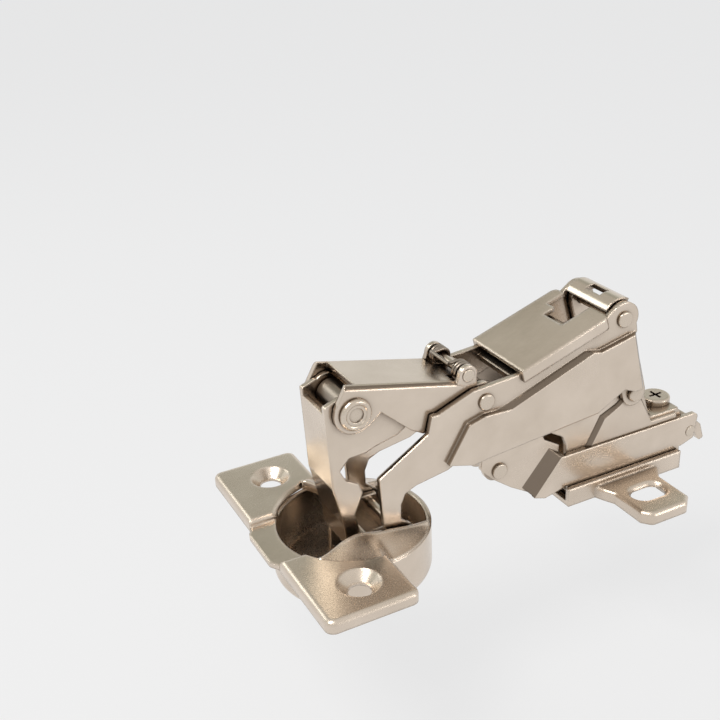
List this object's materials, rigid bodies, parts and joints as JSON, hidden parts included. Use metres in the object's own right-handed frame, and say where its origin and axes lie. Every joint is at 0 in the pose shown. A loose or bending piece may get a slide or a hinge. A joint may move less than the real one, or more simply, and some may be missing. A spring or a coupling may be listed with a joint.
{
  "type": "concealed cup hinge",
  "caption": "Wide-angle concealed cup hinge in nickel-plated pressed steel, half open on its slotted mounting plate: drilled cup and flange, folding links, goose-neck arm and depth screw.",
  "frame": {"origin": "on the cabinet side panel's face, in the middle of the two fixing slots of the mounting plate", "axes": "+Z away from the panel, +X into the cabinet (the cup lies towards -X), Y along the pivot pins"},
  "size_m": [0.1181, 0.0622, 0.052],
  "materials": {
    "plate_nickel": "bright nickel plating over pressed steel",
    "bracket_nickel": "bright nickel plating over pressed steel",
    "screw_steel": "plain bright steel",
    "arm_nickel": "bright nickel plating over pressed steel",
    "cover_nickel": "bright nickel plating over pressed steel",
    "link_nickel": "bright nickel plating over pressed steel",
    "cup_nickel": "bright nickel plating over pressed steel",
    "rivet_steel": "plain bright steel",
    "spring_steel": "plain bright steel"
  },
  "bodies": {
    "plate": {"base_plate": "plate_nickel"},
    "bracket": {"slide_bracket": "bracket_nickel", "pivot_bracket": "bracket_nickel", "front_link_pin": "rivet_steel", "rear_link_pin": "rivet_steel", "catch_pin": "rivet_steel"},
    "screw": {"depth_screw": "screw_steel"},
    "catch": {"release_catch": "bracket_nickel"},
    "front_link": {"front_link": "link_nickel"},
    "rear_link": {"rear_link": "link_nickel"},
    "arm": {"arm_channel": "arm_nickel", "top_cover": "cover_nickel", "crossing_pin": "rivet_steel", "crown_pin": "rivet_steel"},
    "knee": {"intermediate_arm": "link_nickel", "knuckle_pin": "rivet_steel", "knuckle_bush": "spring_steel", "spring_pin": "rivet_steel", "closing_spring": "spring_steel"},
    "door_link": {"cup_link": "link_nickel"},
    "cup": {"cup_shell": "cup_nickel", "pin_carrier": "cup_nickel", "foot_pin": "rivet_steel", "heel_pin": "rivet_steel"}
  },
  "joints": [
    {"name": "depth_adjust", "type": "slide", "parent": "plate", "child": "bracket", "axis": [1, 0, 0], "range_m": [-0.002, 0.002]},
    {"name": "front_link_swing", "type": "hinge", "parent": "bracket", "child": "front_link", "pos_m": [-0.0349, 0, 0.0142], "axis": [0, -1, 0], "range_deg": [-33, 52.6]},
    {"name": "arm_level", "type": "hinge", "parent": "front_link", "child": "arm", "pos_m": [-0.0409, 0, 0.0351], "axis": [0, -1, 0], "range_deg": [-52.6, 33]},
    {"name": "door_opening", "type": "hinge", "parent": "arm", "child": "cup", "pos_m": [-0.0618, 0, 0.0083], "axis": [0, -1, 0], "range_deg": [-47, 75]},
    {"name": "knee_fold", "type": "hinge", "parent": "arm", "child": "knee", "pos_m": [-0.0409, 0, 0.0351], "axis": [0, -1, 0], "range_deg": [-10.4, 16.6]},
    {"name": "door_link_tilt", "type": "hinge", "parent": "knee", "child": "door_link", "pos_m": [-0.0712, 0, 0.0402], "axis": [0, -1, 0], "range_deg": [-11.6, 7.3]},
    {"name": "rear_link_swing", "type": "hinge", "parent": "bracket", "child": "rear_link", "pos_m": [0.0014, 0, 0.0246], "axis": [0, -1, 0], "range_deg": [-33, 52.6]},
    {"name": "depth_screw_turn", "type": "hinge", "parent": "bracket", "child": "screw", "pos_m": [0.0148, 0, 0.0156], "axis": [0, 0, 1], "range_deg": [-180, 180]},
    {"name": "catch_release", "type": "hinge", "parent": "bracket", "child": "catch", "pos_m": [0.0206, 0, 0.0086], "axis": [0, -1, 0], "range_deg": [0, 15], "stiffness_Nm_per_rad": 0.02, "springref_deg": -11.46}
  ],
  "couplings": [
    {"joint": "front_link_swing", "follows": "door_opening", "ratio": 0.7},
    {"joint": "arm_level", "follows": "door_opening", "ratio": -0.7},
    {"joint": "rear_link_swing", "follows": "door_opening", "ratio": 0.7},
    {"joint": "knee_fold", "follows": "door_opening", "ratio": 0.22},
    {"joint": "door_link_tilt", "follows": "door_opening", "ratio": -0.154}
  ]
}
